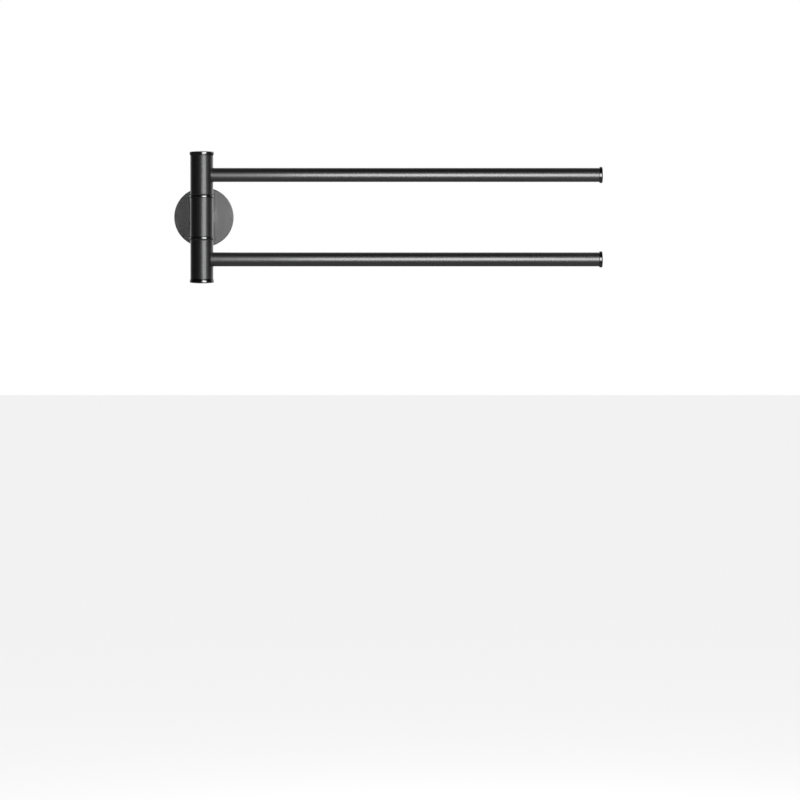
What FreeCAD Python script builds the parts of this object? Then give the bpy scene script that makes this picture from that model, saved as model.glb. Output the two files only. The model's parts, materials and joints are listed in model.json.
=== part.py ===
"""Two-arm swing towel bar for a bathroom wall, in millimetres.

A round cover on the wall carries a short neck, and the neck carries a vertical post.
The post is three tubes in line on one hidden spindle. The centre one is fixed. The one
above it and the one below it each carry a long arm, and swing on nylon bushes.
Polished rings part the three tubes, and polished caps close the post and the arms.

Frame: +Z is up and +X points along the arms. The wall is the plane y = 0 and the bar
stands in front of it, towards -Y. The origin is on the wall, behind the post's middle.
"""

import FreeCAD, Part
import math
import os

os.makedirs("parts", exist_ok=True)

# ---------------------------------------------------------------- driving dimensions
# Overall
axis_to_wall = 65.0  # swivel axis to the wall
arm_reach = 401.0  # swivel axis to the far end of a tip cap

# Post: three lengths of the same tube
post_diameter = 23.0
post_wall = 1.5
centre_length = 39.4
swivel_length = 39.1
tube_edge_chamfer = 0.4

# Arms
arm_diameter = 14.0
arm_wall = 1.2
arm_below_middle = 0.25  # arm's centreline, inwards of its swivel tube's middle
root_plug_length = 20.0
root_spigot_diameter = 7.0
rivet_head_diameter = 9.0
rivet_head_thickness = 2.0

# Polished trim: rings between the tubes, caps on the post and on the arms
ring_thickness = 2.6
ring_overhang = 0.5  # stands this far proud of the tube
ring_edge_radius = 0.8
ring_spigot_length = 6.0
post_cap_thickness = 3.6
post_cap_overhang = 0.7
post_cap_edge_radius = 0.9
post_cap_dome = 0.6
post_cap_spigot_length = 6.0
post_cap_spigot_wall = 1.1
post_cap_recess = 1.0  # hollow over the spindle's end
tip_cap_thickness = 3.2
tip_cap_overhang = 1.1
tip_cap_edge_radius = 1.0
tip_cap_dome = 0.3
tip_cap_spigot_length = 9.0

# Spindle and what turns on it
spindle_diameter = 8.0
spindle_shoulder = 1.0  # step down to the threaded ends
spindle_chamfer = 0.5
spindle_flat = 0.5  # depth of the flat under the neck bolt's tip
spindle_flat_length = 9.0
shoulder_inside_bush = 0.5
bush_to_rivet = 1.5
bush_chamfer = 0.5
thrust_washer_thickness = 0.5
thrust_washer_inset = 0.8  # edge of the washer, inside the tube's outer face
flat_washer_thickness = 1.0
wave_washer_thickness = 0.5
wave_washer_bend = 0.5
nut_height = 4.4
nut_collar_height = 0.8
nut_flats_over_thread = 4.0
thread_past_nut = 0.4
washer_hole_clearance = 0.2

# Hub core inside the centre tube
hub_core_gap = 1.7  # to each ring's spigot

# Neck
neck_diameter = 18.0
neck_wall = 2.5
neck_bolt_diameter = 6.0
neck_bolt_head_diameter = 10.0
neck_bolt_head_height = 4.0
neck_bolt_socket = 4.0  # across flats
neck_bolt_socket_depth = 2.2
neck_bolt_hole_clearance = 0.2
neck_washer_diameter = 12.0
neck_washer_thickness = 1.0

# Wall cover, and the plate under it
cover_diameter = 60.0
cover_depth = 10.0
cover_face = 2.0
cover_rim = 2.5
cover_edge_radius = 0.4
plate_thickness = 6.0
plate_clearance = 0.3
plate_groove_depth = 1.3
plate_edge_chamfer = 0.5
head_room = 1.2  # air between the neck bolt's head and the plate's floor
head_side_room = 3.0
wall_screw_spacing = 36.0
wall_screw_hole_diameter = 4.6
wall_screw_sink_diameter = 9.0
grub_diameter = 4.0
grub_inset = 0.2  # below the cover's rim
grub_socket = 2.0  # across flats
grub_socket_depth = 1.8

# Fits
fit_gap = 0.03  # between pieces that are pressed or screwed together
running_gap = 0.05  # radial, between the spindle and what turns on it
face_gap = 0.1  # between faces that slide on each other

# ---------------------------------------------------------------- worked-out values
post_radius = post_diameter / 2
post_bore = post_radius - post_wall
arm_radius = arm_diameter / 2
arm_bore = arm_radius - arm_wall
spindle_radius = spindle_diameter / 2
thread_radius = spindle_radius - spindle_shoulder
rivet_head_radius = rivet_head_diameter / 2
cover_radius = cover_diameter / 2
cover_bore = cover_radius - cover_rim
plate_radius = cover_bore - plate_clearance
neck_bolt_radius = neck_bolt_diameter / 2
hub_core_length = centre_length - 2 * (ring_spigot_length + hub_core_gap)

# Levels of the upper half of the post, above its middle
ring_bottom = centre_length / 2
ring_top = ring_bottom + ring_thickness
washer_top = ring_top + thrust_washer_thickness
tube_start = washer_top + face_gap
tube_end = tube_start + swivel_length
arm_level = (tube_start + tube_end) / 2 - arm_below_middle

# The nut's stack ends under the hollow in the cap
spindle_end = tube_end + post_cap_recess - face_gap
nut_top = spindle_end - thread_past_nut
nut_bottom = nut_top - nut_collar_height - nut_height
wave_bottom = nut_bottom - wave_washer_thickness - wave_washer_bend
flat_washer_bottom = wave_bottom - flat_washer_thickness
outer_bush_end = flat_washer_bottom - face_gap
outer_bush_start = arm_level + rivet_head_radius + bush_to_rivet
inner_bush_end = arm_level - rivet_head_radius - bush_to_rivet

# Depths in front of the wall
bolt_seat = cover_depth - cover_face
bolt_head_front = bolt_seat - neck_washer_thickness
bolt_head_back = bolt_head_front - neck_bolt_head_height
plate_floor = bolt_head_back - head_room

ORIGIN = FreeCAD.Vector(0, 0, 0)
X = FreeCAD.Vector(1, 0, 0)
Y = FreeCAD.Vector(0, 1, 0)
Z = FreeCAD.Vector(0, 0, 1)
PAST = 1.0  # how far a cutting shape runs past what it cuts


# ---------------------------------------------------------------- helpers
def rod(radius, start, end, along=Z, centre=ORIGIN):
    """A round rod from start to end on the line through centre."""
    return Part.makeCylinder(radius, end - start, centre + along * start, along)


def pipe(outer, inner, start, end, along=Z, centre=ORIGIN):
    """A round tube from start to end on the line through centre."""
    bore = rod(inner, start - PAST, end + PAST, along, centre)
    return rod(outer, start, end, along, centre).cut(bore)


def hexagon(across_flats, start, end, along=Z, centre=ORIGIN):
    """A six-sided bar from start to end."""
    corner = across_flats / math.sqrt(3)
    side = X if along == Z else Z
    other = along.cross(side)
    base = centre + along * start
    turns = [math.radians(60 * n) for n in range(7)]
    points = [base + side * (corner * math.cos(t)) + other * (corner * math.sin(t)) for t in turns]
    return Part.Face(Part.makePolygon(points)).extrude(along * (end - start))


def turned(outline):
    """A solid turned about Z. The outline is edges in the plane y = 0, closed on the axis."""
    wire = Part.Wire(Part.__sortEdges__(outline))
    return Part.Face(wire).revolve(ORIGIN, Z, 360)


def line(a, b):
    """A straight edge between two (radius, height) points."""
    return Part.LineSegment(FreeCAD.Vector(a[0], 0, a[1]), FreeCAD.Vector(b[0], 0, b[1])).toShape()


def arc(a, through, b):
    """A round edge through three (radius, height) points."""
    points = [FreeCAD.Vector(p[0], 0, p[1]) for p in (a, through, b)]
    return Part.Arc(*points).toShape()


def lines(points):
    """Straight edges from each (radius, height) point to the next."""
    return [line(a, b) for a, b in zip(points, points[1:])]


def chamfered_rod(radius, start, end, chamfer):
    """A rod about Z with both ends chamfered."""
    outline = [(0, start), (radius - chamfer, start), (radius, start + chamfer)]
    outline += [(radius, end - chamfer), (radius - chamfer, end), (0, end), (0, start)]
    return turned(lines(outline))


def bead(radius, bottom, top, edge, dome):
    """A disc about Z with both edges rounded, and a slightly domed top."""
    part_way = edge * math.sqrt(0.5)
    inset = radius - edge
    low = arc((inset, bottom), (inset + part_way, bottom + edge - part_way), (radius, bottom + edge))
    side_top = top - edge
    high = arc((radius, side_top), (inset + part_way, side_top + part_way), (inset, top))
    side = [line((radius, bottom + edge), (radius, side_top))] if side_top > bottom + edge else []
    if dome > 0:
        # A circle through the rim and the crown, read off half way out
        circle = (inset**2 + dome**2) / (2 * dome)
        half = (inset / 2, top + dome - circle + math.sqrt(circle**2 - inset**2 / 4))
        crown = arc((inset, top), half, (0, top + dome))
    else:
        crown = line((inset, top), (0, top))
    return turned([line((0, bottom), (inset, bottom)), low, *side, high, crown, line((0, top + dome), (0, bottom))])


# ---------------------------------------------------------------- pieces of the fixed post
# Post pieces are drawn about the swivel axis, and moved out from the wall when written.
def post_tube(start, end):
    """A length of post tube with its outer edges chamfered."""
    outside = chamfered_rod(post_radius, start, end, tube_edge_chamfer)
    return outside.cut(rod(post_bore, start - PAST, end + PAST))


def centre_tube():
    tube = post_tube(-centre_length / 2, centre_length / 2)
    hole = rod(neck_bolt_radius + neck_bolt_hole_clearance, 0, post_radius + PAST, Y)
    return tube.cut(hole)


def hub_core():
    core = pipe(post_bore - fit_gap, spindle_radius + fit_gap, -hub_core_length / 2, hub_core_length / 2)
    return core.cut(rod(neck_bolt_radius + fit_gap, 0, post_radius, Y))


def spindle():
    shank_end = outer_bush_end - shoulder_inside_bush
    shank = rod(spindle_radius, -shank_end, shank_end)
    bar = shank.fuse(chamfered_rod(thread_radius, -spindle_end, spindle_end, spindle_chamfer)).removeSplitter()
    flat_corner = FreeCAD.Vector(-spindle_radius, spindle_radius - spindle_flat, -spindle_flat_length / 2)
    flat = Part.makeBox(spindle_diameter, spindle_diameter, spindle_flat_length, flat_corner)
    return bar.cut(flat)


def spacer_ring():
    """Polished ring with a spigot down into the centre tube."""
    disc = bead(post_radius + ring_overhang, ring_bottom, ring_top, ring_edge_radius, 0)
    spigot = rod(post_bore - fit_gap, ring_bottom - ring_spigot_length, ring_bottom + ring_edge_radius)
    bore = rod(spindle_radius + fit_gap, ring_bottom - ring_spigot_length - PAST, ring_top + PAST)
    return disc.fuse(spigot).removeSplitter().cut(bore)


def thrust_washer():
    return pipe(post_radius - thrust_washer_inset, spindle_radius + running_gap, ring_top, washer_top)


def flat_washer():
    hole = thread_radius + washer_hole_clearance
    return pipe(2 * thread_radius, hole, flat_washer_bottom, wave_bottom)


def wave_washer():
    """A spring washer bent over a wide cylinder, so that it bears on two edges and a crown."""
    outer = 2 * thread_radius
    ring = pipe(outer, thread_radius + washer_hole_clearance, wave_bottom - PAST, nut_bottom + PAST)
    bend = (outer**2 + wave_washer_bend**2) / (2 * wave_washer_bend)
    centre = FreeCAD.Vector(0, 0, nut_bottom - wave_washer_thickness - bend)
    sheet = pipe(bend + wave_washer_thickness, bend, -outer - PAST, outer + PAST, Y, centre)
    return ring.common(sheet)


def lock_nut():
    """A hexagon nut with turned-off corners and a round locking collar."""
    flats = 2 * thread_radius + nut_flats_over_thread
    corner = flats / math.sqrt(3)
    cut_back = corner - flats / 2
    hex_top = nut_bottom + nut_height
    outline = [(0, nut_bottom), (flats / 2, nut_bottom), (corner, nut_bottom + cut_back / 2)]
    outline += [(corner, hex_top - cut_back / 2), (flats / 2, hex_top), (0, hex_top), (0, nut_bottom)]
    body = hexagon(flats, nut_bottom, hex_top).common(turned(lines(outline)))
    collar_radius = (flats / 2 + thread_radius) / 2 + nut_collar_height / 4
    collar = bead(collar_radius, hex_top - nut_collar_height, nut_top, nut_collar_height / 2, 0)
    bore = rod(thread_radius + fit_gap, nut_bottom - PAST, nut_top + PAST)
    return body.fuse(collar).removeSplitter().cut(bore)


# ---------------------------------------------------------------- pieces that swing
def swivel_tube():
    hole_centre = FreeCAD.Vector(0, 0, arm_level)
    hole = rod(root_spigot_diameter / 2 + fit_gap, 0, post_radius + PAST, X, hole_centre)
    return post_tube(tube_start, tube_end).cut(hole)


def bush(start, end):
    outside = chamfered_rod(post_bore - fit_gap, start, end, bush_chamfer)
    return outside.cut(rod(spindle_radius + running_gap, start - PAST, end + PAST))


def arm_tube():
    """The arm, with its root cut to sit round the post."""
    centre = FreeCAD.Vector(0, 0, arm_level)
    tube = pipe(arm_radius, arm_bore, 0, arm_reach - tip_cap_thickness - tip_cap_dome, X, centre)
    return tube.cut(rod(post_radius + fit_gap, tube_start - post_radius, tube_end + post_radius))


def root_plug():
    """Plug in the arm's root, whose spigot goes through the swivel tube and is riveted inside it."""
    centre = FreeCAD.Vector(0, 0, arm_level)
    body = rod(arm_bore - fit_gap, post_radius + fit_gap, post_radius + root_plug_length, X, centre)
    inner_face = post_bore - rivet_head_thickness
    spigot = rod(root_spigot_diameter / 2, inner_face, post_radius + PAST, X, centre)
    head = rod(rivet_head_radius, inner_face, post_bore, X, centre)
    head = head.common(rod(post_bore - fit_gap, tube_start, tube_end))
    return body.fuse([spigot, head]).removeSplitter()


def post_cap():
    """Polished cap with a hollow spigot that clears the nut."""
    bottom = tube_end
    disc = bead(
        post_radius + post_cap_overhang,
        bottom,
        bottom + post_cap_thickness,
        post_cap_edge_radius,
        post_cap_dome,
    )
    spigot = rod(post_bore - fit_gap, bottom - post_cap_spigot_length, bottom + post_cap_edge_radius)
    hollow_radius = post_bore - fit_gap - post_cap_spigot_wall
    hollow = rod(hollow_radius, bottom - post_cap_spigot_length - PAST, bottom + post_cap_recess)
    return disc.fuse(spigot).removeSplitter().cut(hollow)


def tip_cap():
    """Polished plug for an arm's tip: drawn about Z, then laid along the arm."""
    disc = bead(arm_radius + tip_cap_overhang, 0, tip_cap_thickness, tip_cap_edge_radius, tip_cap_dome)
    spigot = rod(arm_bore - fit_gap, -tip_cap_spigot_length, tip_cap_edge_radius)
    cap = disc.fuse(spigot).removeSplitter()
    cap.rotate(ORIGIN, Y, 90)
    cap.translate(FreeCAD.Vector(arm_reach - tip_cap_thickness - tip_cap_dome, 0, arm_level))
    return cap


# ---------------------------------------------------------------- neck and wall mounting
# These are drawn from the wall, with depth along -Y.
OUT = -Y


def wall_cover():
    """Shallow round cup over the mounting plate."""
    disc = rod(cover_radius, 0, cover_depth, OUT)
    front = [e for e in disc.Edges if abs(e.CenterOfMass.y + cover_depth) < 1e-6 and e.Length > cover_radius]
    cup = disc.makeFillet(cover_edge_radius, front)
    cup = cup.cut(rod(cover_bore, -PAST, bolt_seat, OUT))
    cup = cup.cut(rod(neck_bolt_radius + neck_bolt_hole_clearance, 0, cover_depth + PAST, OUT))
    grub_line = FreeCAD.Vector(0, -plate_thickness / 2, 0)
    return cup.cut(rod(grub_diameter / 2 + fit_gap, cover_bore - PAST, cover_radius + PAST, -Z, grub_line))


def mounting_plate():
    """Plate that is screwed to the wall. The grub screw bites in the groove round its rim."""
    middle = plate_thickness / 2
    rim = plate_radius
    outline = [(0, 0), (rim - plate_edge_chamfer, 0), (rim, plate_edge_chamfer)]
    outline += [(rim, middle - plate_groove_depth), (rim - plate_groove_depth, middle)]
    outline += [(rim, middle + plate_groove_depth), (rim, plate_thickness - plate_edge_chamfer)]
    outline += [(rim - plate_edge_chamfer, plate_thickness), (0, plate_thickness), (0, 0)]
    plate = turned(lines(outline))
    plate.rotate(ORIGIN, X, 90)
    recess_radius = neck_bolt_head_diameter / 2 + head_side_room
    plate = plate.cut(rod(recess_radius, plate_floor, plate_thickness + PAST, OUT))
    for side in (-1, 1):
        centre = FreeCAD.Vector(side * wall_screw_spacing / 2, 0, 0)
        hole = rod(wall_screw_hole_diameter / 2, -PAST, plate_thickness + PAST, OUT, centre)
        sink_depth = (wall_screw_sink_diameter - wall_screw_hole_diameter) / 2
        sink = Part.makeCone(
            wall_screw_hole_diameter / 2,
            wall_screw_sink_diameter / 2,
            sink_depth,
            centre + OUT * (plate_thickness - sink_depth),
            OUT,
        )
        plate = plate.cut(hole).cut(sink)
    return plate


def grub_screw():
    """Cone-point socket screw through the bottom of the cover's rim, drawn about Z."""
    radius = grub_diameter / 2
    tip = plate_radius - plate_groove_depth + fit_gap
    top = cover_radius - grub_inset
    outline = [(0, tip), (radius, tip + radius), (radius, top), (0, top), (0, tip)]
    screw = turned(lines(outline))
    screw = screw.cut(hexagon(grub_socket, top - grub_socket_depth, top + PAST))
    screw.rotate(ORIGIN, X, 180)
    screw.translate(FreeCAD.Vector(0, -plate_thickness / 2, 0))
    return screw


def neck_tube():
    """Stand-off tube, with its front end cut to sit round the post."""
    tube = pipe(neck_diameter / 2, neck_diameter / 2 - neck_wall, cover_depth, axis_to_wall, OUT)
    post = rod(post_radius + fit_gap, -neck_diameter, neck_diameter, Z, OUT * axis_to_wall)
    return tube.cut(post)


def neck_bolt():
    """Socket screw that draws the cover, the neck and the centre tube against the hub core."""
    tip = axis_to_wall - spindle_radius + spindle_flat - face_gap
    shank = rod(neck_bolt_radius, bolt_head_front, tip, OUT)
    head = rod(neck_bolt_head_diameter / 2, bolt_head_back, bolt_head_front, OUT)
    socket = hexagon(neck_bolt_socket, bolt_head_back - PAST, bolt_head_back + neck_bolt_socket_depth, OUT)
    return shank.fuse(head).removeSplitter().cut(socket)


def neck_washer():
    hole = neck_bolt_radius + neck_bolt_hole_clearance
    return pipe(neck_washer_diameter / 2, hole, bolt_head_front, bolt_seat, OUT)


# ---------------------------------------------------------------- writing the parts
def write(name, shape):
    """Checks one node's solids and writes them."""
    assert shape.isValid() and shape.Solids, name
    solid = shape.Solids[0] if len(shape.Solids) == 1 else Part.makeCompound(shape.Solids)
    solid.exportStep(f"parts/{name}.step")
    print(f"{name}: {len(shape.Solids)} solid, {shape.Volume:.1f} mm3")


def on_post(shape, turned_over=False):
    """Moves a post piece out to the swivel axis. The lower half is the upper one turned over."""
    placed = shape.copy()
    if turned_over:
        placed.rotate(ORIGIN, X, 180)
    placed.translate(OUT * axis_to_wall)
    return placed


WALL_PIECES = {
    "wall_cover": wall_cover(),
    "mounting_plate": mounting_plate(),
    "cover_grub_screw": grub_screw(),
    "neck_tube": neck_tube(),
    "neck_bolt": neck_bolt(),
    "neck_washer": neck_washer(),
}
CENTRE_PIECES = {
    "centre_tube": centre_tube(),
    "hub_core": hub_core(),
    "spindle": spindle(),
}
# Each of these is on the post twice, above and below
PAIRED_PIECES = {
    "spacer_ring": spacer_ring(),
    "thrust_washer": thrust_washer(),
    "flat_washer": flat_washer(),
    "wave_washer": wave_washer(),
    "lock_nut": lock_nut(),
    "swivel_tube": swivel_tube(),
    "inner_bush": bush(tube_start, inner_bush_end),
    "outer_bush": bush(outer_bush_start, outer_bush_end),
    "arm_tube": arm_tube(),
    "arm_root_plug": root_plug(),
    "arm_tip_cap": tip_cap(),
    "post_cap": post_cap(),
}

for name, shape in WALL_PIECES.items():
    write(name, shape)
for name, shape in CENTRE_PIECES.items():
    write(name, on_post(shape))
for name, shape in PAIRED_PIECES.items():
    write(f"upper_{name}", on_post(shape))
    write(f"lower_{name}", on_post(shape, turned_over=True))
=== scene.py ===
# %% [markdown]
# # A swing arm towel bar
#
# The bar's tubes, caps, screws and bushes come from a CAD model that is already the right size. This notebook
# gives each of them its finish, turns the polished trim and the neck bolt again with more detail than the CAD
# model has, and lights the whole as a studio would. Blender works in metres here, with +Z up, +X along the arms
# and the wall at y = 0.

# %% The fixed frame
import json
import math

import bmesh
import bpy
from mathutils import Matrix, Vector


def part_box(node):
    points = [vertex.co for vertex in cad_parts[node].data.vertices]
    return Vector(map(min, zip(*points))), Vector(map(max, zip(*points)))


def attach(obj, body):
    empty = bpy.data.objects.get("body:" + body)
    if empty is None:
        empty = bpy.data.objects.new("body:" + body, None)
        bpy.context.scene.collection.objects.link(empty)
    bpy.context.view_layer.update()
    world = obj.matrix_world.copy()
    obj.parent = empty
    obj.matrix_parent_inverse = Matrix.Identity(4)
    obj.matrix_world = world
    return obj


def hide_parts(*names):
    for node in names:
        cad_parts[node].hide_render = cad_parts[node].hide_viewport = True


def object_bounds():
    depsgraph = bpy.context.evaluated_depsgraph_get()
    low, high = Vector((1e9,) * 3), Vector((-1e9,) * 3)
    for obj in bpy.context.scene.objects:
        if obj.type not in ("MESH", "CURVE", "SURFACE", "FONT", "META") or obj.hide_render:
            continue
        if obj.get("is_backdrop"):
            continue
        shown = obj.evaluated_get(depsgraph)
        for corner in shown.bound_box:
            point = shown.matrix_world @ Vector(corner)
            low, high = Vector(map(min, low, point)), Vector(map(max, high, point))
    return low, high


MM = 0.001
X, Y, Z = 0, 1, 2

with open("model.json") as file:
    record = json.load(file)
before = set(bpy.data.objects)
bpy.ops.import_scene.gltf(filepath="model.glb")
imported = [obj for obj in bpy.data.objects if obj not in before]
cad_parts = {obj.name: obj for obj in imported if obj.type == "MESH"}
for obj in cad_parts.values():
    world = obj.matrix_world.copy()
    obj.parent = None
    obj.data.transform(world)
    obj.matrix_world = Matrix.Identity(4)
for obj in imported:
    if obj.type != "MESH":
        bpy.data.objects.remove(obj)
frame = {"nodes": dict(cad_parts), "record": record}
nodes = frame["nodes"]
cad_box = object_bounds()
print("CAD box in mm:", [[round(x / MM, 1) for x in corner] for corner in cad_box])

# %% [markdown]
# ## Sizes that later steps share
#
# Radii and levels are read from the frame's own pieces, so that a changed CAD size carries through to every piece
# that is made below. A bush shows what slides in the post's tube, for instance, and the plug in an arm's root
# shows what slides in an arm. What the frame can't tell, such as a rounding or a thread's pitch, is given where it
# is used.


# %% Sizes read from the frame
def low(node, axis):
    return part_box(node)[0][axis]


def high(node, axis):
    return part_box(node)[1][axis]


def middle(node, axis):
    return (low(node, axis) + high(node, axis)) / 2


def half_width(node, axis):
    return (high(node, axis) - low(node, axis)) / 2


swivel_axis = Vector([middle("centre_tube", axis) for axis in (X, Y, Z)])
post_radius = half_width("centre_tube", X)
in_post_radius = half_width("upper_inner_bush", X)
arm_radius = half_width("upper_arm_tube", Z)
in_arm_radius = half_width("upper_arm_root_plug", Z)
arm_level = middle("upper_arm_tube", Z)
print("post radius", round(post_radius / MM, 2), "arm radius", round(arm_radius / MM, 2), "mm")

# %% [markdown]
# ## Node trees as Python
#
# A procedural finish is a formula on the point's place: noise, stripes, a mask. So is a shape that follows a rule.
# Each step of the formula is a node, and wiring nodes one by one hides the formula. `Socket` wraps one output and
# overloads the operators, so that `1 - mask * 0.5` adds its own Math nodes. `Tree.add` makes every other node, in
# a shader and in Geometry Nodes alike.


# %% A wrapped socket and a wrapped tree
class Socket:
    """One output of a node. Arithmetic on it adds Math nodes."""

    def __init__(self, tree, out):
        self.tree, self.out = tree, out

    def __add__(self, other):
        return self.tree.math("ADD", self, other)

    def __sub__(self, other):
        return self.tree.math("SUBTRACT", self, other)

    def __rsub__(self, other):
        return self.tree.math("SUBTRACT", other, self)

    def __mul__(self, other):
        return self.tree.math("MULTIPLY", self, other)

    def __truediv__(self, other):
        return self.tree.math("DIVIDE", self, other)

    def __rtruediv__(self, other):
        return self.tree.math("DIVIDE", other, self)

    __radd__ = __add__
    __rmul__ = __mul__


class Tree:
    """A node tree that is built by calls."""

    def __init__(self, tree):
        self.tree = tree

    def add(self, kind, inputs=None, output=0, **settings):
        """Adds a node, applies its settings, then fills its inputs with values or links."""
        node = self.tree.nodes.new(kind)
        for name, value in settings.items():
            setattr(node, name, value)
        for name, value in (inputs or {}).items():
            if isinstance(value, Socket):
                self.tree.links.new(value.out, node.inputs[name])
            else:
                node.inputs[name].default_value = value
        return Socket(self, node.outputs[output]) if node.outputs else node

    def math(self, operation, *values):
        return self.add("ShaderNodeMath", dict(enumerate(values)), operation=operation)

    def split(self, vector):
        """The three parts of a vector."""
        node = self.add("ShaderNodeSeparateXYZ", {"Vector": vector}).out.node
        return [Socket(self, out) for out in node.outputs]

    def join(self, x, y, z):
        return self.add("ShaderNodeCombineXYZ", {"X": x, "Y": y, "Z": z})

    def step(self, value, start, end):
        """0 at start, 1 at end, and smooth between them."""
        inputs = {"Value": value, "From Min": start, "From Max": end}
        return self.add("ShaderNodeMapRange", inputs, interpolation_type="SMOOTHSTEP")


# %% [markdown]
# ## Satin black
#
# The tubes, the neck and the wall cover have one satin black colour. Its glow is soft, and on a tube it is
# stretched, because the belt that evens a tube leaves lines that run round it. The round cover has such lines in
# circles, but its glow isn't stretched. Each kind of piece has its own gloss: the post is the softest and the flat
# cover the sharpest. A uniform grey would miss this, so the finish has three layers: lines across the grain's
# axis, a broad cloudiness in the colour and in the gloss, and the faint unevenness of sprayed paint as bump. The
# stretch of the glow is a constant on the shader, and so is the thin clear coat that brightens the edges that are
# seen at a slant.


# %% Lines that run round an axis
def round_axis(tree, centre, axis):
    """The way along an axis, and how far off it and on which side a point is."""
    place = tree.add("ShaderNodeTexCoord", output="Object")
    parts = tree.split(tree.add("ShaderNodeVectorMath", {0: place, 1: centre}, operation="SUBTRACT"))
    along = parts[axis]
    u, v = [part for number, part in enumerate(parts) if number != axis]
    off = tree.math("SQRT", u * u + v * v)
    return place, along, off, tree.math("ARCTAN2", v, u)


def grain(tree, along, side, lines_per_mm):
    """Fine lines across the way along, which start and stop on the way round."""
    point = tree.join(along * (lines_per_mm / MM), side * 1.5, 0.0)
    return tree.add("ShaderNodeTexNoise", {"Vector": point, "Scale": 1.0, "Detail": 2.0})


def cloud(tree, place, size, detail=3.0):
    """Soft patches of about this size, in metres."""
    return tree.add("ShaderNodeTexNoise", {"Vector": place, "Scale": 1 / size, "Detail": detail})


def shade(tree, share, dark, pale):
    """A colour between two, by a share from 0 to 1."""
    mix = {"Factor": share, 6: (*dark, 1), 7: (*pale, 1)}
    return tree.add("ShaderNodeMix", mix, output=2, data_type="RGBA")


def new_finish(name):
    material = bpy.data.materials.new(name)
    material.use_nodes = True
    material.node_tree.nodes.clear()
    return material, Tree(material.node_tree)


def close_finish(tree, inputs, height=None, depth=0.0):
    """Adds the shader. height is a field from 0 to 1, and depth is its full rise in metres."""
    if height is not None:
        inputs["Normal"] = tree.add("ShaderNodeBump", {"Height": height, "Distance": depth, "Strength": 1.0})
    tree.add("ShaderNodeOutputMaterial", {"Surface": tree.add("ShaderNodeBsdfPrincipled", inputs)})


# %% The satin black on each kind of piece
SATIN = (0.13, 0.13, 0.132)
SATIN_ROUGHNESS = 0.465


def satin_black(name, centre, axis, turn, roughness=SATIN_ROUGHNESS, lay=0.7, on_face=False):
    """axis is the tube's own, lay is how far the glow is stretched and turn is its direction as a share of a turn.
    On a face the lines are circles about the axis."""
    material, tree = new_finish(name)
    place, along, off, side = round_axis(tree, centre, axis)
    lines = grain(tree, off if on_face else along, side, 4.0)
    patches = cloud(tree, place, 18 * MM)
    spray = cloud(tree, place, 0.7 * MM, 1.0)
    inputs = {
        "Base Color": shade(tree, patches, [c * 0.93 for c in SATIN], [c * 1.07 for c in SATIN]),
        "Roughness": roughness - 0.035 + patches * 0.04 + lines * 0.03,
        "Metallic": 1.0,
        "Coat Weight": 1.0,
        "Coat Roughness": 0.12,
        "Coat IOR": 1.3,
        "Anisotropic": lay,
        "Anisotropic Rotation": turn,
    }
    close_finish(tree, inputs, lines * 0.5 + spray * 0.5, 0.0015 * MM)
    return material


FINISH = {
    "satin_post": satin_black("satin_post", swivel_axis, Z, 0.25, 0.61),
    "satin_arm": satin_black("satin_arm", (0, swivel_axis.y, 0), X, 0.0, lay=0.4),
    "satin_neck": satin_black("satin_neck", (0, 0, 0), Y, 0.25),
    "satin_cover": satin_black("satin_cover", (0, 0, 0), Y, 0.0, 0.24, 0.0, on_face=True),
}
print("satin finishes:", list(FINISH))

# %% [markdown]
# ## Polished black
#
# The rings and caps are plated a dark, mirror-like black. Such a mirror takes its look from the room, so the
# colour is nearly even, and what tells it from paint is how sharp its reflections are. Only wiping marks vary the
# gloss, and the lathe's last pass leaves lines too fine to see at arm's length.


# %% The polished black
def polished_black(name, centre, axis, roughness=0.15):
    material, tree = new_finish(name)
    place, along, off, side = round_axis(tree, centre, axis)
    lines = grain(tree, along + off, side, 9.0)
    wiped = cloud(tree, place, 6 * MM)
    inputs = {
        "Base Color": shade(tree, wiped, (0.12, 0.12, 0.122), (0.133, 0.133, 0.135)),
        "Roughness": roughness + wiped * 0.04,
        "Metallic": 1.0,
    }
    close_finish(tree, inputs, lines, 0.0002 * MM)
    return material


FINISH["polished_post"] = polished_black("polished_post", swivel_axis, Z)
FINISH["polished_tip"] = polished_black("polished_tip", (0, swivel_axis.y, arm_level), X, 0.21)
FINISH["polished_low_tip"] = polished_black("polished_low_tip", (0, swivel_axis.y, -arm_level), X, 0.21)
print("polished finishes:", [name for name in FINISH if "polished" in name])

# %% [markdown]
# ## Steel, brass and nylon
#
# These are out of sight once the bar is on a wall, but they are what its fitter sees. The plate is turned steel
# with circles on its face. Screws, nuts and washers are zinc plated, with the faint blue and straw patches of that
# plating. The brass plugs have dulled unevenly. Nylon is moulded, and its skin has the mould's fine matt texture.


# %% The plate and the fasteners
def turned_steel(name, centre, axis):
    material, tree = new_finish(name)
    place, along, off, side = round_axis(tree, centre, axis)
    lines = grain(tree, along + off, side, 3.0)
    patches = cloud(tree, place, 9 * MM)
    inputs = {
        "Base Color": shade(tree, lines * 0.6 + patches * 0.4, (0.49, 0.49, 0.5), (0.62, 0.62, 0.61)),
        "Roughness": 0.3 + lines * 0.1 + patches * 0.08,
        "Metallic": 1.0,
    }
    close_finish(tree, inputs, lines, 0.003 * MM)
    return material


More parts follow.
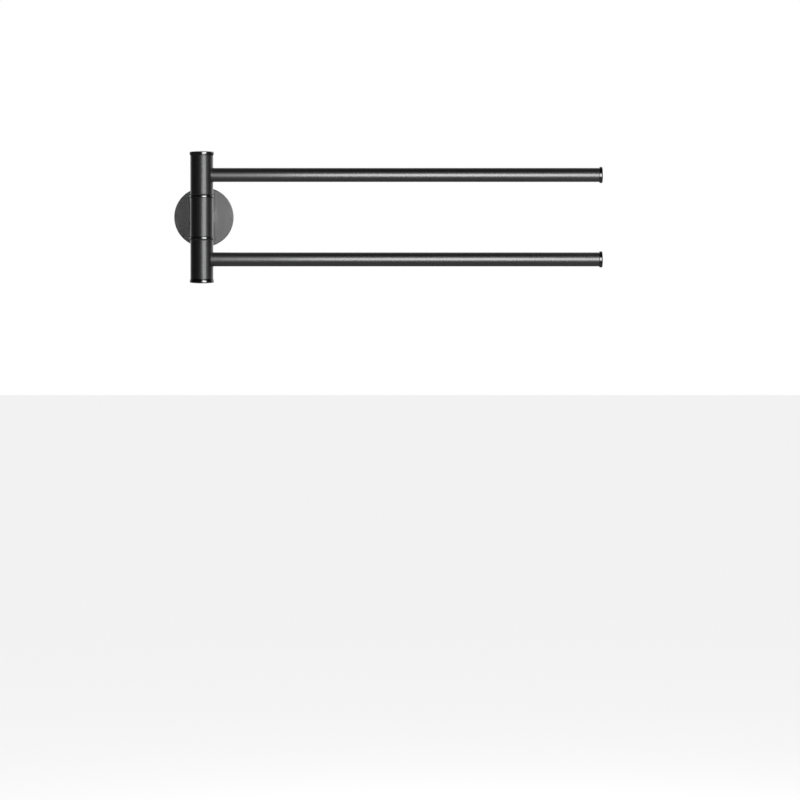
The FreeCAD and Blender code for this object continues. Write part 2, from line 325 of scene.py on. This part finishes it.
def zinc_plate(name):
    material, tree = new_finish(name)
    place = tree.add("ShaderNodeTexCoord", output="Object")
    tint = cloud(tree, place, 2.5 * MM)
    grit = cloud(tree, place, 0.25 * MM, 1.0)
    inputs = {
        "Base Color": shade(tree, tree.step(tint, 0.35, 0.65), (0.56, 0.59, 0.63), (0.66, 0.64, 0.56)),
        "Roughness": 0.24 + grit * 0.08 + tint * 0.06,
        "Metallic": 1.0,
    }
    close_finish(tree, inputs, grit, 0.002 * MM)
    return material


FINISH["plate_steel"] = turned_steel("plate_steel", (0, 0, 0), Y)
FINISH["fastener_steel"] = zinc_plate("fastener_steel")


# %% Brass and nylon
def dulled_brass(name):
    material, tree = new_finish(name)
    place = tree.add("ShaderNodeTexCoord", output="Object")
    dull = cloud(tree, place, 5 * MM)
    scuffs = cloud(tree, place, 0.5 * MM)
    inputs = {
        "Base Color": shade(tree, tree.step(dull, 0.3, 0.8), (0.78, 0.62, 0.33), (0.62, 0.45, 0.24)),
        "Roughness": 0.22 + dull * 0.16 + scuffs * 0.06,
        "Metallic": 1.0,
    }
    close_finish(tree, inputs, scuffs, 0.002 * MM)
    return material


def moulded_nylon(name, dark, pale):
    material, tree = new_finish(name)
    place = tree.add("ShaderNodeTexCoord", output="Object")
    flow = cloud(tree, place, 4 * MM)
    texture = cloud(tree, place, 0.2 * MM, 1.0)
    inputs = {
        "Base Color": shade(tree, flow, dark, pale),
        "Roughness": 0.42 + flow * 0.1 + texture * 0.06,
        "Metallic": 0.0,
    }
    close_finish(tree, inputs, texture, 0.006 * MM)
    return material


FINISH["brass"] = dulled_brass("brass")
FINISH["nylon"] = moulded_nylon("nylon", (0.8, 0.785, 0.73), (0.88, 0.87, 0.83))
FINISH["black_nylon"] = moulded_nylon("black_nylon", (0.024, 0.024, 0.025), (0.037, 0.037, 0.038))

# %% [markdown]
# ## Dressing the CAD's own pieces
#
# The record says which slot each piece takes. A satin piece needs the variant whose lines run round its own axis,
# and the others take the finish of their slot's name.

# %% A finish on every piece of the frame
SATIN_OF = {"neck_tube": "satin_neck", "wall_cover": "satin_cover"}
slot_of = {part["node"]: part["material_slot"] for part in frame["record"]["subparts"]}
for node, slot in slot_of.items():
    if slot == "satin_black":
        finish = SATIN_OF.get(node, "satin_arm" if node.endswith("arm_tube") else "satin_post")
    elif slot == "polished_black":
        finish = "polished_tip" if node.endswith("tip_cap") else "polished_post"
    else:
        finish = slot
    mesh = nodes[node].data
    mesh.materials.clear()
    mesh.materials.append(FINISH[finish])
print(len(slot_of), "pieces dressed")

# %% [markdown]
# ## Trees that make shapes
#
# A Geometry Nodes tree is built once and run as often as its shape is needed, with other sizes each time. Each
# size is a named input. A modifier knows its inputs by identifier, and reads them when it is first evaluated, so
# they are set before that. The result is then copied into a plain mesh, and the modifier goes.


# %% Helpers for shape trees
KINDS = {"Number": "NodeSocketFloat", "Count": "NodeSocketInt", "Place": "NodeSocketVector"}


def new_shape(name, **sizes):
    """A tree with an input for the starting geometry, one for each size and one for the finish."""
    group = bpy.data.node_groups.new(name, "GeometryNodeTree")
    group.interface.new_socket("Geometry", in_out="INPUT", socket_type="NodeSocketGeometry")
    for size, kind in sizes.items():
        group.interface.new_socket(size, in_out="INPUT", socket_type=KINDS[kind])
    group.interface.new_socket("Material", in_out="INPUT", socket_type="NodeSocketMaterial")
    group.interface.new_socket("Geometry", in_out="OUTPUT", socket_type="NodeSocketGeometry")
    tree = Tree(group)
    source = tree.add("NodeGroupInput").out.node
    return group, tree, {out.name: Socket(tree, out) for out in source.outputs if out.name}


def close_shape(tree, geometry, given, crease=30):
    """Smooths all but the sharp edges, puts the shape in its place and gives it its finish."""
    rotated = tree.add("GeometryNodeTransform", {"Geometry": geometry, "Rotation": given["Turn"]})
    placed = tree.add("GeometryNodeTransform", {"Geometry": rotated, "Translation": given["Centre"]})
    smooth = tree.add("GeometryNodeSetShadeSmooth", {"Geometry": placed, "Shade Smooth": True})
    angle = tree.add("GeometryNodeInputMeshEdgeAngle")
    sharp = tree.math("GREATER_THAN", angle, math.radians(crease))
    edged = tree.add(
        "GeometryNodeSetShadeSmooth",
        {"Geometry": smooth, "Selection": sharp, "Shade Smooth": False},
        domain="EDGE",
    )
    real = tree.add("GeometryNodeRealizeInstances", {"Geometry": edged})
    faced = tree.add("GeometryNodeSetMaterial", {"Geometry": real, "Material": given["Material"]})
    tree.add("NodeGroupOutput", {"Geometry": faced})


def run_shape(group, start, material, **sizes):
    """The plain mesh that a tree makes from a starting mesh and these sizes."""
    trial = bpy.data.objects.new("trial", start or bpy.data.meshes.new("trial"))
    bpy.context.scene.collection.objects.link(trial)
    modifier = trial.modifiers.new("shape", "NODES")
    modifier.node_group = group
    inputs = [item for item in group.interface.items_tree if item.in_out == "INPUT"]
    identifier = {item.name: item.identifier for item in inputs}
    modifier[identifier["Material"]] = material
    for size, value in sizes.items():
        modifier[identifier[size]] = value
    shown = trial.evaluated_get(bpy.context.evaluated_depsgraph_get())
    mesh = bpy.data.meshes.new_from_object(shown)
    trial.modifiers.clear()
    bpy.data.objects.remove(trial)
    return mesh


def keep_piece(name, meshes, body, slot, *replaced):
    """Joins meshes into one named piece, faces outwards, that rides on a body and stands for CAD nodes."""
    work = bmesh.new()
    for mesh in meshes:
        work.from_mesh(mesh)
    bmesh.ops.recalc_face_normals(work, faces=work.faces)
    joined = bpy.data.meshes.new(name)
    work.to_mesh(joined)
    volume = work.calc_volume(signed=True)
    work.free()
    joined.materials.append(meshes[0].materials[0])
    piece = bpy.data.objects.new(name, joined)
    bpy.context.scene.collection.objects.link(piece)
    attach(piece, body)
    if replaced:
        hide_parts(*replaced)
    print(name, len(joined.polygons), "faces,", round(volume / MM**3), "mm3")


# %% [markdown]
# ## A lathe in nodes
#
# Rings, caps and screw heads are turned, and a lathe needs only the outline of half a section. It could be drawn
# and spun by hand in the editor. Here the outline is a mesh of points, each with its radius, its height, and how
# far its corner is rounded. The tree rounds the corners with Fillet Curve, then sweeps the outline round a circle
# with Curve to Mesh. A point may also name a distance across which flats are milled, and the tree then cuts the
# turning down to a hexagon there, as on a socket.


# %% The lathe
PATH_RADIUS = 1 * MM  # of the circle that the outline is swept along
TOUCHING = 0.001 * MM  # points as close as this are one

lathe, turn, size = new_shape("lathe", Segments="Count", Steps="Count", Turn="Place", Centre="Place")
corner_radius = turn.add("GeometryNodeInputNamedAttribute", {"Name": "rounding"}, data_type="FLOAT")
outline = turn.add("GeometryNodeMeshToCurve", {"Mesh": size["Geometry"]})
rounded = turn.add(
    "GeometryNodeFilletCurve",
    {"Curve": outline, "Count": size["Steps"], "Radius": corner_radius, "Limit Radius": True},
    mode="POLY",
)
circle = turn.add("GeometryNodeCurvePrimitiveCircle", {"Resolution": size["Segments"], "Radius": PATH_RADIUS})
swept = turn.add("GeometryNodeCurveToMesh", {"Curve": circle, "Profile Curve": rounded})

across, away, up = turn.split(turn.add("GeometryNodeInputPosition"))
flats = turn.add("GeometryNodeInputNamedAttribute", {"Name": "flats"}, data_type="FLOAT")
sixth = turn.math("FLOORED_MODULO", turn.math("ARCTAN2", away, across) + math.pi / 6, math.pi / 3)
to_flat = flats / turn.math("COSINE", sixth - math.pi / 6)
radius = turn.math("SQRT", across * across + away * away)
milled = turn.math("GREATER_THAN", flats, 0.0)
kept = 1 + milled * (turn.math("MINIMUM", 1.0, to_flat / turn.math("MAXIMUM", radius, 1e-9)) - 1)
milled_place = turn.join(across * kept, away * kept, up)
cut = turn.add("GeometryNodeSetPosition", {"Geometry": swept, "Position": milled_place})
merged = turn.add("GeometryNodeMergeByDistance", {"Geometry": cut, "Distance": TOUCHING})
close_shape(turn, merged, size)
print("lathe inputs:", list(size))


# %% What the lathe is fed
def outline_mesh(points):
    """A closed or open outline from (radius, height, rounding, flats) points in metres."""
    mesh = bpy.data.meshes.new("outline")
    corners = [(radius - PATH_RADIUS, -height, 0) for radius, height, *_ in points]
    last = len(points) - 1
    edges = [(number, number + 1) for number in range(last)]
    if points[0][0] > 0:
        edges.append((last, 0))
    mesh.from_pydata(corners, edges, [])
    for column, name in ((2, "rounding"), (3, "flats")):
        values = [point[column] if len(point) > column else 0.0 for point in points]
        mesh.attributes.new(name, "FLOAT", "POINT").data.foreach_set("value", values)
    return mesh


def turned(points, material, centre=swivel_axis, tilt=(0, 0, 0), segments=96, steps=8):
    places = {"Turn": tilt, "Centre": centre}
    counts = {"Segments": segments, "Steps": steps}
    return run_shape(lathe, outline_mesh(points), FINISH[material], **places, **counts)


def dome(radius, edge, crown, count=12):
    """Points from the crown out to the edge, on a quarter of an ellipse."""
    angles = [math.pi / 2 * number / count for number in range(count + 1)]
    return [(radius * math.sin(angle), edge + (crown - edge) * math.cos(angle), 0) for angle in angles]


# %% [markdown]
# ## Rings and post caps
#
# A polished ring parts each swinging tube from the fixed one, and a polished cap closes each end of the post. The
# ring is a low bead, a little prouder than the tube. The cap is narrow where it meets the tube, widest half way
# up, then rounded over in a quarter of an ellipse. Under both is a spigot that plugs into the tube. The lower half
# of the post is the upper one turned over, so each outline is drawn once, above the post's middle.

# %% Ring and cap
HALF_TURN = (math.pi, 0, 0)
level = {
    "spigot": low("upper_spacer_ring", Z),
    "ring": high("centre_tube", Z),
    "washer": low("upper_thrust_washer", Z),
    "cap spigot": low("upper_post_cap", Z),
    "cap": high("upper_swivel_tube", Z),
    "crown": high("upper_post_cap", Z),
}
SPINDLE_GAP = 0.03 * MM
bore = half_width("spindle", X) + SPINDLE_GAP
BEAD = 1.0 * MM  # rounding of a ring's edge
WASHER_INSET = 0.8 * MM  # the thrust washer's edge, inside the post's face
ring_radius = half_width("upper_spacer_ring", X)
ring_points = [
    (bore, level["washer"], 0),
    (bore, level["spigot"], 0),
    (in_post_radius, level["spigot"], 0.3 * MM),
    (in_post_radius, level["ring"], 0),
    (post_radius, level["ring"], 0),
    (ring_radius, level["ring"], BEAD),
    (ring_radius, level["washer"], BEAD),
    (post_radius - WASHER_INSET, level["washer"], 0),
]
cap_radius = half_width("upper_post_cap", X)
in_cap_radius = in_post_radius - 1.1 * MM  # inside the spigot's wall
cap_floor = level["cap"] + 1.0 * MM  # top of the hollow over the spindle's end
DOME_RISE = 1.25 * MM
cap_points = [
    *dome(cap_radius, level["crown"] - DOME_RISE, level["crown"]),
    (cap_radius, level["cap"] + 1.7 * MM, 0.9 * MM),
    (post_radius + 0.35 * MM, level["cap"], 0.2 * MM),
    (in_post_radius, level["cap"], 0),
    (in_post_radius, level["cap spigot"], 0.3 * MM),
    (in_cap_radius, level["cap spigot"], 0.3 * MM),
    (in_cap_radius, cap_floor, 0.5 * MM),
    (0, cap_floor, 0),
]
for half, tilt in (("upper", (0, 0, 0)), ("lower", HALF_TURN)):
    ring = turned(ring_points, "polished_post", tilt=tilt)
    keep_piece(f"{half}_polished_ring", [ring], "wall_post", "polished_black", f"{half}_spacer_ring")
    cap = turned(cap_points, "polished_post", tilt=tilt)
    keep_piece(f"{half}_polished_post_cap", [cap], f"{half}_arm", "polished_black", f"{half}_post_cap")

# %% [markdown]
# ## Tip caps
#
# Each arm ends in a polished plug with a flange a little wider than the tube. Its front is nearly flat, and its
# rim is rounded enough to carry a bright line of the room. It is the same kind of turning, laid along the arm.

# %% Tip cap
arm_end = high("upper_arm_tube", X)
tip_end = high("upper_arm_tip_cap", X)
tip_radius = half_width("upper_arm_tip_cap", Z)
tip_edge = tip_end - 0.3 * MM
tip_points = [
    *dome(tip_radius - 1.5 * MM, tip_edge, tip_end),
    (tip_radius, tip_edge, 1.1 * MM),
    (tip_radius, arm_end, 0.9 * MM),
    (arm_radius - 0.4 * MM, arm_end, 0),
    (in_arm_radius, arm_end, 0),
    (in_arm_radius, low("upper_arm_tip_cap", X), 0.5 * MM),
    (0, low("upper_arm_tip_cap", X), 0),
]
ALONG_ARM = (0, math.pi / 2, 0)
for half, height, finish in (("upper", arm_level, "polished_tip"), ("lower", -arm_level, "polished_low_tip")):
    cap = turned(tip_points, finish, (0, swivel_axis.y, height), ALONG_ARM, segments=72)
    keep_piece(f"{half}_polished_tip_cap", [cap], f"{half}_arm", "polished_black", f"{half}_arm_tip_cap")

# %% [markdown]
# ## The joint between arm and post
#
# An arm's root is cut to sit round its swivel tube. The finish that is laid over both pools in the corner, and
# leaves a fine rounded line where bare metal would have a crack. Its path follows a rule: a point on the arm's
# circle, moved out until it lies on the post's. The tree makes that path from a circle, then sweeps a small
# circle along it.

# %% The line round an arm's root
pooled, tree, size = new_shape(
    "pooled finish", Post_Radius="Number", Arm_Radius="Number", Thickness="Number", Turn="Place", Centre="Place"
)
ring_path = tree.add("GeometryNodeCurvePrimitiveCircle", {"Resolution": 96, "Radius": size["Arm_Radius"]})
across, away, up = tree.split(tree.add("GeometryNodeInputPosition"))
out = tree.math("SQRT", size["Post_Radius"] * size["Post_Radius"] - away * away)
saddle = tree.add("GeometryNodeSetPosition", {"Geometry": ring_path, "Position": tree.join(out, away, across)})
section = tree.add("GeometryNodeCurvePrimitiveCircle", {"Resolution": 10, "Radius": size["Thickness"]})
swept = tree.add("GeometryNodeCurveToMesh", {"Curve": saddle, "Profile Curve": section})
close_shape(tree, swept, size, crease=80)
for half, height in (("upper", arm_level), ("lower", -arm_level)):
    places = {"Turn": (0, 0, 0), "Centre": (0, swivel_axis.y, height)}
    radii = {"Post_Radius": post_radius, "Arm_Radius": arm_radius, "Thickness": 0.35 * MM}
    line = run_shape(pooled, None, FINISH["satin_post"], **radii, **places)
    keep_piece(f"{half}_root_line", [line], f"{half}_arm", "satin_black")

# %% [markdown]
# ## The neck bolt
#
# One socket screw draws the cover, the neck and the post together, and the bar's weight hangs on its thread. A
# thread is a ridge on a helix. It could be a profile swept along a helix, but the turns then only touch. Here a
# grid is rolled into a tube that climbs one pitch in each lap, so that every row of it follows the helix and each
# lap closes on the next. The ridge is a triangle wave across the rows, cut flat at its crest and root, and it
# runs out at both ends. The head and the plain shank are turned, and the head's socket is milled to six sides.

# %% A threaded rod in nodes
ROWS_A_PITCH, COLUMNS = 8, 36

rod, tree, size = new_shape(
    "threaded rod", Rows="Count", Radius="Number", Pitch="Number", Length="Number", Turn="Place", Centre="Place"
)
grid = tree.add(
    "GeometryNodeMeshGrid",
    {"Size X": 1.0, "Size Y": 1.0, "Vertices X": size["Rows"], "Vertices Y": COLUMNS + 1},
)
across, away, up = tree.split(tree.add("GeometryNodeInputPosition"))
share, lap = across + 0.5, away + 0.5
climb = share * (size["Length"] + size["Pitch"])
level_on_rod = tree.math("MINIMUM", tree.math("MAXIMUM", climb + (lap - 1) * size["Pitch"], 0.0), size["Length"])
wave = tree.math("PINGPONG", climb / size["Pitch"], 0.5) * 2
flat_wave = tree.math("MINIMUM", tree.math("MAXIMUM", wave * 1.5 - 0.25, 0.0), 1.0)
run_out = tree.step(level_on_rod, 0.0, size["Pitch"])
run_in = 1 - tree.step(level_on_rod, size["Length"] - size["Pitch"], size["Length"])
ridge = size["Radius"] - size["Pitch"] * 0.54 * (1 - flat_wave * run_out * run_in)
inside = tree.math("GREATER_THAN", share, 1e-4) * tree.math("LESS_THAN", share, 1 - 1e-4)
angle = lap * math.tau
rolled = tree.add(
    "GeometryNodeSetPosition",
    {
        "Geometry": grid,
        "Position": tree.join(
            ridge * inside * tree.math("COSINE", angle), ridge * inside * tree.math("SINE", angle), level_on_rod
        ),
    },
)
joined = tree.add("GeometryNodeMergeByDistance", {"Geometry": rolled, "Distance": TOUCHING})
close_shape(tree, joined, size, crease=25)
print("threaded rod inputs:", list(size))

# %% The bolt
TO_FRONT = (math.pi / 2, 0, 0)  # from the wall out
bolt_back, bolt_tip = -high("neck_bolt", Y), -low("neck_bolt", Y)
head_radius = half_width("neck_bolt", X)
head_top, shank_radius = -high("neck_washer", Y) - bolt_back, 3.0 * MM
PITCH, THREADED = 1.0 * MM, 24 * MM
socket_depth, socket_half = 2.2 * MM, 2.0 * MM
socket_corner = socket_half * 2 / math.sqrt(3)
plain_end = bolt_tip - bolt_back - THREADED
head_points = [
    (0, socket_depth, 0),
    (socket_corner, socket_depth, 0, socket_half),
    (socket_corner, 0.2 * MM, 0, socket_half),
    (socket_corner + 0.2 * MM, 0, 0),
    (head_radius, 0, 0.5 * MM),
    (head_radius, head_top, 0),
    (shank_radius, head_top, 0.2 * MM),
    (shank_radius, plain_end, 0),
    (shank_radius - 0.5 * MM, plain_end + 0.3 * MM, 0),
    (0, plain_end + 0.3 * MM, 0),
]
head = turned(head_points, "fastener_steel", (0, -bolt_back, 0), TO_FRONT, segments=60, steps=4)
rows = round(THREADED / PITCH + 1) * ROWS_A_PITCH + 1
sizes = {"Rows": rows, "Radius": shank_radius, "Pitch": PITCH, "Length": THREADED}
places = {"Turn": TO_FRONT, "Centre": (0, -bolt_back - plain_end, 0)}
thread = run_shape(rod, None, FINISH["fastener_steel"], **sizes, **places)
keep_piece("threaded_neck_bolt", [head, thread], "wall_post", "fastener_steel", "neck_bolt")

# %% [markdown]
# ## The camera
#
# The picture is 800 pixels square. At the post one pixel covers one millimetre, and the post is left of the
# middle and well above it. The rings and caps show no ellipse, so the camera is as high as the post's middle. It
# is tipped down by about 2 degrees to put the post where it shows, and stands far enough away that the arms
# hardly converge.

# %% Placing the camera
VIEW_DISTANCE = 5.09  # camera to the swivel axis
PICTURE = 800  # pixels across the square picture
PIXEL = 1.0 * MM  # what one pixel covers at the swivel axis
POST_PIXEL = (201.78, 217.05)  # where the post's middle shows
right_of_post = (PICTURE / 2 - POST_PIXEL[0]) * PIXEL
below_post = (PICTURE / 2 - POST_PIXEL[1]) * PIXEL

camera_data = bpy.data.cameras.new("camera")
camera = bpy.data.objects.new("camera", camera_data)
bpy.context.scene.collection.objects.link(camera)
camera.location = swivel_axis + Vector((right_of_post, -VIEW_DISTANCE, 0))
tilt = math.atan(below_post / VIEW_DISTANCE)
camera.rotation_euler = (math.pi / 2 - tilt, 0, 0)
camera_data.sensor_width = 36.0
camera_data.lens = camera_data.sensor_width * VIEW_DISTANCE * math.cos(tilt) / (PICTURE * PIXEL)
camera_data.clip_end = 50
bpy.context.scene.camera = camera
print("lens in mm:", round(camera_data.lens, 1))

# %% [markdown]
# ## The studio
#
# Dark metal shows its surroundings more than its colour. The picture has a white room behind the bar, which
# brightens every edge that is seen at a slant, hardly any light from the front, and one softbox in front and to
# the right. The world is white to the camera, white behind the bar and strongest at its level, and almost black
# in front. The softbox is a rectangular lamp at the bar's level. A second lamp, behind the camera, lights the flat
# of the wall cover, where the post and neck keep the softbox's light away.

# %% World and lamps
world = bpy.data.worlds.new("studio")
bpy.context.scene.world = world
world.use_nodes = True
world.node_tree.nodes.clear()
studio = Tree(world.node_tree)
direction = studio.add("ShaderNodeTexCoord", output="Generated")
across, depth, height = studio.split(direction)
level_with_bar = 1 - studio.step(studio.math("ABSOLUTE", height), 0.1, 0.45)
behind = studio.step(depth + across * 0.1, 0.1, 0.85) * (0.5 + level_with_bar * 0.5)
strength = 0.02 + behind * (1 + across * 0.35)
to_camera = studio.add("ShaderNodeLightPath", output="Is Camera Ray")
seen = to_camera + (1 - to_camera) * strength
backdrop = studio.add("ShaderNodeBackground", {"Color": (1, 1, 1, 1), "Strength": seen})
studio.add("ShaderNodeOutputWorld", {"Surface": backdrop})


def area_lamp(name, centre, aim, size, radiance):
    """A rectangular lamp. radiance is what a ray that meets it sees."""
    data = bpy.data.lights.new(name, "AREA")
    data.shape = "RECTANGLE"
    data.size, data.size_y = size
    data.energy = radiance * math.pi * size[0] * size[1]
    lamp = bpy.data.objects.new(name, data)
    bpy.context.scene.collection.objects.link(lamp)
    lamp.location = centre
    lamp.rotation_euler = (Vector(aim) - Vector(centre)).to_track_quat("-Z", "Y").to_euler()


SOFTBOX_ACROSS = 0.285  # right of the post, which puts the highlight right of the post's middle
area_lamp("key", (SOFTBOX_ACROSS, -0.565, 0.0), (SOFTBOX_ACROSS, -0.015, 0), (0.41, 0.34), 7.8)
area_lamp("front", (0.2, -6.0, 0.0), (0.0, 0.0, 0.0), (0.42, 0.42), 7.0)

# %% [markdown]
# ## The floor
#
# The floor is well below the bar and nearly white to the camera. That glow is shown to the camera's own rays
# alone, and adds no light to the bar. A matt grey paint with it takes the bar's shadow, and sends back a little of
# the lamps' light. The picture has no floor line, but this floor shows a faint one: glow and paint together come
# out a little greyer than the world behind.

# %% The floor's glow and paint
FLOOR_SIDE, FLOOR_LEVEL = 12.0, -0.6
floor_mesh = bpy.data.meshes.new("floor")
corners = [(x * FLOOR_SIDE, y * FLOOR_SIDE, FLOOR_LEVEL) for x, y in ((-1, -1), (1, -1), (1, 1), (-1, 1))]
floor_mesh.from_pydata(corners, [], [(0, 1, 2, 3)])
floor = bpy.data.objects.new("floor", floor_mesh)
bpy.context.scene.collection.objects.link(floor)
floor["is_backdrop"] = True
floor_material, paint = new_finish("floor")
matt = paint.add("ShaderNodeBsdfDiffuse", {"Color": (0.6, 0.6, 0.6, 1)})
to_camera = paint.add("ShaderNodeLightPath", output="Is Camera Ray")
glow = paint.add("ShaderNodeEmission", {"Color": (1, 1, 1, 1), "Strength": to_camera * 0.8})
paint.add("ShaderNodeOutputMaterial", {"Surface": paint.add("ShaderNodeAddShader", {0: matt, 1: glow})})
floor_mesh.materials.append(floor_material)

# %% [markdown]
# ## Closing
#
# The colours are shown as they are, with no film curve.

# %% Sizes and the end
bpy.context.scene.view_settings.view_transform = "Standard"
sizes = {
    "cad": [list(corner) for corner in cad_box],
    "visual": [list(corner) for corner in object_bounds()],
}
